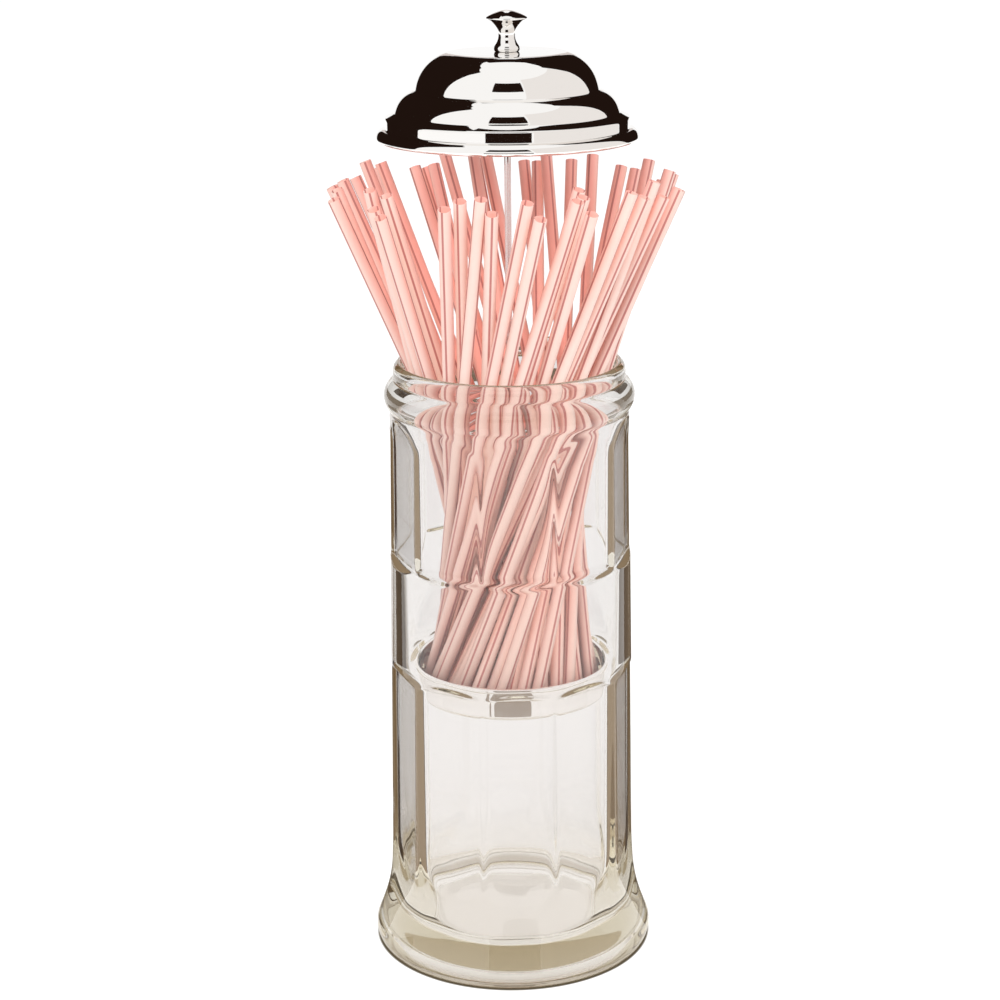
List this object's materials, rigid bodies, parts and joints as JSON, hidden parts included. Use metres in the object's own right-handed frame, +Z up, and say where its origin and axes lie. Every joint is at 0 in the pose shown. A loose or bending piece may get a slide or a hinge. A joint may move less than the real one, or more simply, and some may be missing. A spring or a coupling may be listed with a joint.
{
  "type": "lift-up drinking-straw dispenser",
  "caption": "Countertop straw dispenser: a panelled pressed-glass jar whose domed chrome lid lifts a cup of drinking straws on a centre rod, so that they fan out over the rim.",
  "frame": {"origin": "centre of the circle that the jar's foot rests on", "axes": "+Z up along the jar's axis and the lift rod, -Y towards the front, +X to the right"},
  "size_m": [0.1335, 0.1332, 0.368],
  "materials": {
    "clear_glass": "clear pressed glass, faint olive tint where it is thick",
    "lid_chrome": "bright chrome on spun sheet",
    "knob_chrome": "bright chrome on a turned knob",
    "cup_chrome": "bright chrome on drawn sheet",
    "rod_steel": "bright drawn steel rod",
    "fastener_steel": "plain bright steel",
    "straw_plastic": "thin translucent plastic, pale pink with fine lengthwise red lines"
  },
  "bodies": {
    "jar": {"glass_jar": "clear_glass"},
    "lid_insert": {"lid_dome": "lid_chrome", "knob": "knob_chrome", "lift_rod": "rod_steel", "lid_washer": "fastener_steel", "lid_lock_nut": "fastener_steel", "lifter_cup": "cup_chrome", "cup_washer": "fastener_steel", "cup_top_nut": "fastener_steel", "cup_under_nut": "fastener_steel"},
    "straw_01_body": {"straw_01": "straw_plastic"},
    "straw_02_body": {"straw_02": "straw_plastic"},
    "straw_03_body": {"straw_03": "straw_plastic"},
    "straw_04_body": {"straw_04": "straw_plastic"},
    "straw_05_body": {"straw_05": "straw_plastic"},
    "straw_06_body": {"straw_06": "straw_plastic"},
    "straw_07_body": {"straw_07": "straw_plastic"},
    "straw_08_body": {"straw_08": "straw_plastic"},
    "straw_09_body": {"straw_09": "straw_plastic"},
    "straw_10_body": {"straw_10": "straw_plastic"},
    "straw_11_body": {"straw_11": "straw_plastic"},
    "straw_12_body": {"straw_12": "straw_plastic"},
    "straw_13_body": {"straw_13": "straw_plastic"},
    "straw_14_body": {"straw_14": "straw_plastic"},
    "straw_15_body": {"straw_15": "straw_plastic"},
    "straw_16_body": {"straw_16": "straw_plastic"},
    "straw_17_body": {"straw_17": "straw_plastic"},
    "straw_18_body": {"straw_18": "straw_plastic"},
    "straw_19_body": {"straw_19": "straw_plastic"},
    "straw_20_body": {"straw_20": "straw_plastic"},
    "straw_21_body": {"straw_21": "straw_plastic"},
    "straw_22_body": {"straw_22": "straw_plastic"},
    "straw_23_body": {"straw_23": "straw_plastic"},
    "straw_24_body": {"straw_24": "straw_plastic"},
    "straw_25_body": {"straw_25": "straw_plastic"},
    "straw_26_body": {"straw_26": "straw_plastic"},
    "straw_27_body": {"straw_27": "straw_plastic"},
    "straw_28_body": {"straw_28": "straw_plastic"},
    "straw_29_body": {"straw_29": "straw_plastic"},
    "straw_30_body": {"straw_30": "straw_plastic"},
    "straw_31_body": {"straw_31": "straw_plastic"},
    "straw_32_body": {"straw_32": "straw_plastic"},
    "straw_33_body": {"straw_33": "straw_plastic"},
    "straw_34_body": {"straw_34": "straw_plastic"},
    "straw_35_body": {"straw_35": "straw_plastic"},
    "straw_36_body": {"straw_36": "straw_plastic"},
    "straw_37_body": {"straw_37": "straw_plastic"},
    "straw_38_body": {"straw_38": "straw_plastic"},
    "straw_39_body": {"straw_39": "straw_plastic"},
    "straw_40_body": {"straw_40": "straw_plastic"},
    "straw_41_body": {"straw_41": "straw_plastic"},
    "straw_42_body": {"straw_42": "straw_plastic"},
    "straw_43_body": {"straw_43": "straw_plastic"},
    "straw_44_body": {"straw_44": "straw_plastic"},
    "straw_45_body": {"straw_45": "straw_plastic"},
    "straw_46_body": {"straw_46": "straw_plastic"}
  },
  "joints": [
    {"name": "lid_lift", "type": "slide", "parent": "jar", "child": "lid_insert", "axis": [0, 0, 1], "range_m": [-0.0924, 0.01]},
    {"name": "straw_01_lean", "type": "hinge", "parent": "lid_insert", "child": "straw_01_body", "pos_m": [-0.01264, 0.02746, 0.10647], "axis": [0.9969, 0.079, 0], "range_deg": [-16.09, 2.19]},
    {"name": "straw_02_lean", "type": "hinge", "parent": "lid_insert", "child": "straw_02_body", "pos_m": [-0.032, 0.00804, 0.10637], "axis": [0.8736, 0.4866, 0], "range_deg": [-14.48, 2.01]},
    {"name": "straw_03_lean", "type": "hinge", "parent": "lid_insert", "child": "straw_03_body", "pos_m": [-0.02728, 0.01964, 0.1065], "axis": [0.9082, 0.4184, 0], "range_deg": [-16.63, 2.25]},
    {"name": "straw_04_lean", "type": "hinge", "parent": "lid_insert", "child": "straw_04_body", "pos_m": [-0.03359, -0.00134, 0.10638], "axis": [0.6928, 0.7211, 0], "range_deg": [-14.6, 2.03]},
    {"name": "straw_05_lean", "type": "hinge", "parent": "lid_insert", "child": "straw_05_body", "pos_m": [-0.02106, 0.0184, 0.10649], "axis": [0.8321, 0.5546, 0], "range_deg": [-16.44, 2.23]},
    {"name": "straw_06_lean", "type": "hinge", "parent": "lid_insert", "child": "straw_06_body", "pos_m": [-0.02995, 0.00247, 0.10636], "axis": [0.6956, 0.7185, 0], "range_deg": [-14.3, 1.99]},
    {"name": "straw_07_lean", "type": "hinge", "parent": "lid_insert", "child": "straw_07_body", "pos_m": [-0.02577, 0.00673, 0.1063], "axis": [0.7239, 0.6899, 0], "range_deg": [-13.44, 1.9]},
    {"name": "straw_08_lean", "type": "hinge", "parent": "lid_insert", "child": "straw_08_body", "pos_m": [-0.02979, -0.01557, 0.10636], "axis": [0.3459, 0.9383, 0], "range_deg": [-14.3, 1.99]},
    {"name": "straw_09_lean", "type": "hinge", "parent": "lid_insert", "child": "straw_09_body", "pos_m": [-0.03131, -0.01001, 0.10642], "axis": [0.3318, 0.9434, 0], "range_deg": [-15.35, 2.11]},
    {"name": "straw_10_lean", "type": "hinge", "parent": "lid_insert", "child": "straw_10_body", "pos_m": [-0.02089, -0.02413, 0.1063], "axis": [0.061, 0.9981, 0], "range_deg": [-13.44, 1.9]},
    {"name": "straw_11_lean", "type": "hinge", "parent": "lid_insert", "child": "straw_11_body", "pos_m": [-0.02948, -0.00514, 0.10646], "axis": [0.2458, 0.9693, 0], "range_deg": [-16, 2.18]},
    {"name": "straw_12_lean", "type": "hinge", "parent": "lid_insert", "child": "straw_12_body", "pos_m": [-0.02323, -0.0194, 0.10643], "axis": [-0.0171, 0.9999, 0], "range_deg": [-15.5, 2.12]},
    {"name": "straw_13_lean", "type": "hinge", "parent": "lid_insert", "child": "straw_13_body", "pos_m": [-0.0244, -0.01426, 0.10645], "axis": [-0.018, 0.9998, 0], "range_deg": [-15.84, 2.16]},
    {"name": "straw_14_lean", "type": "hinge", "parent": "lid_insert", "child": "straw_14_body", "pos_m": [-0.00647, -0.03269, 0.10634], "axis": [-0.4913, 0.871, 0], "range_deg": [-14.01, 1.96]},
    {"name": "straw_15_lean", "type": "hinge", "parent": "lid_insert", "child": "straw_15_body", "pos_m": [-0.00976, -0.02848, 0.1064], "axis": [-0.486, 0.8739, 0], "range_deg": [-14.94, 2.06]},
    {"name": "straw_16_lean", "type": "hinge", "parent": "lid_insert", "child": "straw_16_body", "pos_m": [0.00785, -0.03269, 0.1063], "axis": [-0.7794, 0.6265, 0], "range_deg": [-13.44, 1.9]},
    {"name": "straw_17_lean", "type": "hinge", "parent": "lid_insert", "child": "straw_17_body", "pos_m": [-0.01569, -0.02973, 0.10654], "axis": [-0.6118, 0.791, 0], "range_deg": [-17.16, 2.3]},
    {"name": "straw_18_lean", "type": "hinge", "parent": "lid_insert", "child": "straw_18_body", "pos_m": [0.00241, -0.03353, 0.10647], "axis": [-0.8468, 0.5318, 0], "range_deg": [-16.17, 2.2]},
    {"name": "straw_19_lean", "type": "hinge", "parent": "lid_insert", "child": "straw_19_body", "pos_m": [-0.00154, -0.03012, 0.10645], "axis": [-0.8483, 0.5295, 0], "range_deg": [-15.73, 2.15]},
    {"name": "straw_20_lean", "type": "hinge", "parent": "lid_insert", "child": "straw_20_body", "pos_m": [0.02095, -0.02629, 0.10636], "axis": [-0.9872, 0.1594, 0], "range_deg": [-14.32, 2]},
    {"name": "straw_21_lean", "type": "hinge", "parent": "lid_insert", "child": "straw_21_body", "pos_m": [0.01649, -0.02929, 0.10642], "axis": [-0.9946, 0.1034, 0], "range_deg": [-15.39, 2.11]},
    {"name": "straw_22_lean", "type": "hinge", "parent": "lid_insert", "child": "straw_22_body", "pos_m": [0.03024, -0.01468, 0.1063], "axis": [-0.9789, -0.2045, 0], "range_deg": [-13.44, 1.9]},
    {"name": "straw_23_lean", "type": "hinge", "parent": "lid_insert", "child": "straw_23_body", "pos_m": [0.01139, -0.02826, 0.10646], "axis": [-1, 0.0056, 0], "range_deg": [-15.89, 2.17]},
    {"name": "straw_24_lean", "type": "hinge", "parent": "lid_insert", "child": "straw_24_body", "pos_m": [0.02546, -0.02195, 0.10647], "axis": [-0.9771, -0.213, 0], "range_deg": [-16.06, 2.18]},
    {"name": "straw_25_lean", "type": "hinge", "parent": "lid_insert", "child": "straw_25_body", "pos_m": [0.01802, -0.01426, 0.1063], "axis": [-0.9036, -0.4284, 0], "range_deg": [-13.44, 1.9]},
    {"name": "straw_26_lean", "type": "hinge", "parent": "lid_insert", "child": "straw_26_body", "pos_m": [0.03359, -0.00145, 0.1063], "axis": [-0.8169, -0.5768, 0], "range_deg": [-13.44, 1.9]},
    {"name": "straw_27_lean", "type": "hinge", "parent": "lid_insert", "child": "straw_27_body", "pos_m": [0.02511, -0.01557, 0.10643], "axis": [-0.8944, -0.4472, 0], "range_deg": [-15.4, 2.11]},
    {"name": "straw_28_lean", "type": "hinge", "parent": "lid_insert", "child": "straw_28_body", "pos_m": [0.03265, 0.00796, 0.1063], "axis": [-0.6239, -0.7815, 0], "range_deg": [-13.44, 1.9]},
    {"name": "straw_29_lean", "type": "hinge", "parent": "lid_insert", "child": "straw_29_body", "pos_m": [0.01815, -0.02029, 0.10645], "axis": [-0.8404, -0.5419, 0], "range_deg": [-15.8, 2.16]},
    {"name": "straw_30_lean", "type": "hinge", "parent": "lid_insert", "child": "straw_30_body", "pos_m": [0.0326, -0.00668, 0.1065], "axis": [-0.7063, -0.708, 0], "range_deg": [-16.53, 2.23]},
    {"name": "straw_31_lean", "type": "hinge", "parent": "lid_insert", "child": "straw_31_body", "pos_m": [0.02754, -0.00821, 0.10648], "axis": [-0.6995, -0.7146, 0], "range_deg": [-16.25, 2.2]},
    {"name": "straw_32_lean", "type": "hinge", "parent": "lid_insert", "child": "straw_32_body", "pos_m": [0.03006, 0.01406, 0.10641], "axis": [-0.299, -0.9543, 0], "range_deg": [-15.2, 2.09]},
    {"name": "straw_33_lean", "type": "hinge", "parent": "lid_insert", "child": "straw_33_body", "pos_m": [0.02575, 0.01023, 0.10635], "axis": [-0.2909, -0.9567, 0], "range_deg": [-14.18, 1.98]},
    {"name": "straw_34_lean", "type": "hinge", "parent": "lid_insert", "child": "straw_34_body", "pos_m": [0.01937, 0.0222, 0.10631], "axis": [-0.0636, -0.998, 0], "range_deg": [-13.49, 1.91]},
    {"name": "straw_35_lean", "type": "hinge", "parent": "lid_insert", "child": "straw_35_body", "pos_m": [0.02805, 0.00528, 0.10647], "axis": [-0.225, -0.9744, 0], "range_deg": [-16.04, 2.18]},
    {"name": "straw_36_lean", "type": "hinge", "parent": "lid_insert", "child": "straw_36_body", "pos_m": [0.0244, 0.01939, 0.10649], "axis": [0.1188, -0.9929, 0], "range_deg": [-16.47, 2.23]},
    {"name": "straw_37_lean", "type": "hinge", "parent": "lid_insert", "child": "straw_37_body", "pos_m": [0.02094, 0.01455, 0.10641], "axis": [0.1464, -0.9892, 0], "range_deg": [-15.11, 2.08]},
    {"name": "straw_38_lean", "type": "hinge", "parent": "lid_insert", "child": "straw_38_body", "pos_m": [0.01024, 0.03202, 0.10644], "axis": [0.5284, -0.849, 0], "range_deg": [-15.56, 2.13]},
    {"name": "straw_39_lean", "type": "hinge", "parent": "lid_insert", "child": "straw_39_body", "pos_m": [0.01395, 0.02827, 0.1065], "axis": [0.5315, -0.847, 0], "range_deg": [-16.52, 2.23]},
    {"name": "straw_40_lean", "type": "hinge", "parent": "lid_insert", "child": "straw_40_body", "pos_m": [-0.00942, 0.03218, 0.10635], "axis": [0.8583, -0.5132, 0], "range_deg": [-14.17, 1.98]},
    {"name": "straw_41_lean", "type": "hinge", "parent": "lid_insert", "child": "straw_41_body", "pos_m": [0.00875, 0.02396, 0.10639], "axis": [0.7703, -0.6376, 0], "range_deg": [-14.82, 2.05]},
    {"name": "straw_42_lean", "type": "hinge", "parent": "lid_insert", "child": "straw_42_body", "pos_m": [-0.00336, 0.03345, 0.10648], "axis": [0.8725, -0.4886, 0], "range_deg": [-16.35, 2.22]},
    {"name": "straw_43_lean", "type": "hinge", "parent": "lid_insert", "child": "straw_43_body", "pos_m": [0.00186, 0.03186, 0.10653], "axis": [0.8699, -0.4932, 0], "range_deg": [-17.13, 2.3]},
    {"name": "straw_44_lean", "type": "hinge", "parent": "lid_insert", "child": "straw_44_body", "pos_m": [-0.02201, 0.02541, 0.10643], "axis": [1, -0.0022, 0], "range_deg": [-15.46, 2.12]},
    {"name": "straw_45_lean", "type": "hinge", "parent": "lid_insert", "child": "straw_45_body", "pos_m": [-0.01685, 0.02421, 0.10637], "axis": [1, 0.0009, 0], "range_deg": [-14.54, 2.02]},
    {"name": "straw_46_lean", "type": "hinge", "parent": "lid_insert", "child": "straw_46_body", "pos_m": [-0.02893, 0.01438, 0.10633], "axis": [0.9672, 0.2541, 0], "range_deg": [-13.95, 1.96]}
  ],
  "couplings": [
    {"joint": "straw_01_lean", "follows": "lid_lift", "rad_per_m": 2.945},
    {"joint": "straw_02_lean", "follows": "lid_lift", "rad_per_m": 2.6401},
    {"joint": "straw_03_lean", "follows": "lid_lift", "rad_per_m": 3.0472},
    {"joint": "straw_04_lean", "follows": "lid_lift", "rad_per_m": 2.6635},
    {"joint": "straw_05_lean", "follows": "lid_lift", "rad_per_m": 3.0111},
    {"joint": "straw_06_lean", "follows": "lid_lift", "rad_per_m": 2.607},
    {"joint": "straw_07_lean", "follows": "lid_lift", "rad_per_m": 2.4445},
    {"joint": "straw_08_lean", "follows": "lid_lift", "rad_per_m": 2.606},
    {"joint": "straw_09_lean", "follows": "lid_lift", "rad_per_m": 2.8054},
    {"joint": "straw_10_lean", "follows": "lid_lift", "rad_per_m": 2.4445},
    {"joint": "straw_11_lean", "follows": "lid_lift", "rad_per_m": 2.9277},
    {"joint": "straw_12_lean", "follows": "lid_lift", "rad_per_m": 2.8338},
    {"joint": "straw_13_lean", "follows": "lid_lift", "rad_per_m": 2.897},
    {"joint": "straw_14_lean", "follows": "lid_lift", "rad_per_m": 2.5519},
    {"joint": "straw_15_lean", "follows": "lid_lift", "rad_per_m": 2.7279},
    {"joint": "straw_16_lean", "follows": "lid_lift", "rad_per_m": 2.4445},
    {"joint": "straw_17_lean", "follows": "lid_lift", "rad_per_m": 3.1461},
    {"joint": "straw_18_lean", "follows": "lid_lift", "rad_per_m": 2.9603},
    {"joint": "straw_19_lean", "follows": "lid_lift", "rad_per_m": 2.8767},
    {"joint": "straw_20_lean", "follows": "lid_lift", "rad_per_m": 2.6095},
    {"joint": "straw_21_lean", "follows": "lid_lift", "rad_per_m": 2.8117},
    {"joint": "straw_22_lean", "follows": "lid_lift", "rad_per_m": 2.4445},
    {"joint": "straw_23_lean", "follows": "lid_lift", "rad_per_m": 2.9072},
    {"joint": "straw_24_lean", "follows": "lid_lift", "rad_per_m": 2.9399},
    {"joint": "straw_25_lean", "follows": "lid_lift", "rad_per_m": 2.4445},
    {"joint": "straw_26_lean", "follows": "lid_lift", "rad_per_m": 2.4445},
    {"joint": "straw_27_lean", "follows": "lid_lift", "rad_per_m": 2.8152},
    {"joint": "straw_28_lean", "follows": "lid_lift", "rad_per_m": 2.4445},
    {"joint": "straw_29_lean", "follows": "lid_lift", "rad_per_m": 2.8896},
    {"joint": "straw_30_lean", "follows": "lid_lift", "rad_per_m": 3.0272},
    {"joint": "straw_31_lean", "follows": "lid_lift", "rad_per_m": 2.9745},
    {"joint": "straw_32_lean", "follows": "lid_lift", "rad_per_m": 2.7776},
    {"joint": "straw_33_lean", "follows": "lid_lift", "rad_per_m": 2.5847},
    {"joint": "straw_34_lean", "follows": "lid_lift", "rad_per_m": 2.4541},
    {"joint": "straw_35_lean", "follows": "lid_lift", "rad_per_m": 2.9349},
    {"joint": "straw_36_lean", "follows": "lid_lift", "rad_per_m": 3.0164},
    {"joint": "straw_37_lean", "follows": "lid_lift", "rad_per_m": 2.7595},
    {"joint": "straw_38_lean", "follows": "lid_lift", "rad_per_m": 2.8453},
    {"joint": "straw_39_lean", "follows": "lid_lift", "rad_per_m": 3.0256},
    {"joint": "straw_40_lean", "follows": "lid_lift", "rad_per_m": 2.5816},
    {"joint": "straw_41_lean", "follows": "lid_lift", "rad_per_m": 2.7055},
    {"joint": "straw_42_lean", "follows": "lid_lift", "rad_per_m": 2.9933},
    {"joint": "straw_43_lean", "follows": "lid_lift", "rad_per_m": 3.141},
    {"joint": "straw_44_lean", "follows": "lid_lift", "rad_per_m": 2.8259},
    {"joint": "straw_45_lean", "follows": "lid_lift", "rad_per_m": 2.652},
    {"joint": "straw_46_lean", "follows": "lid_lift", "rad_per_m": 2.5411}
  ]
}
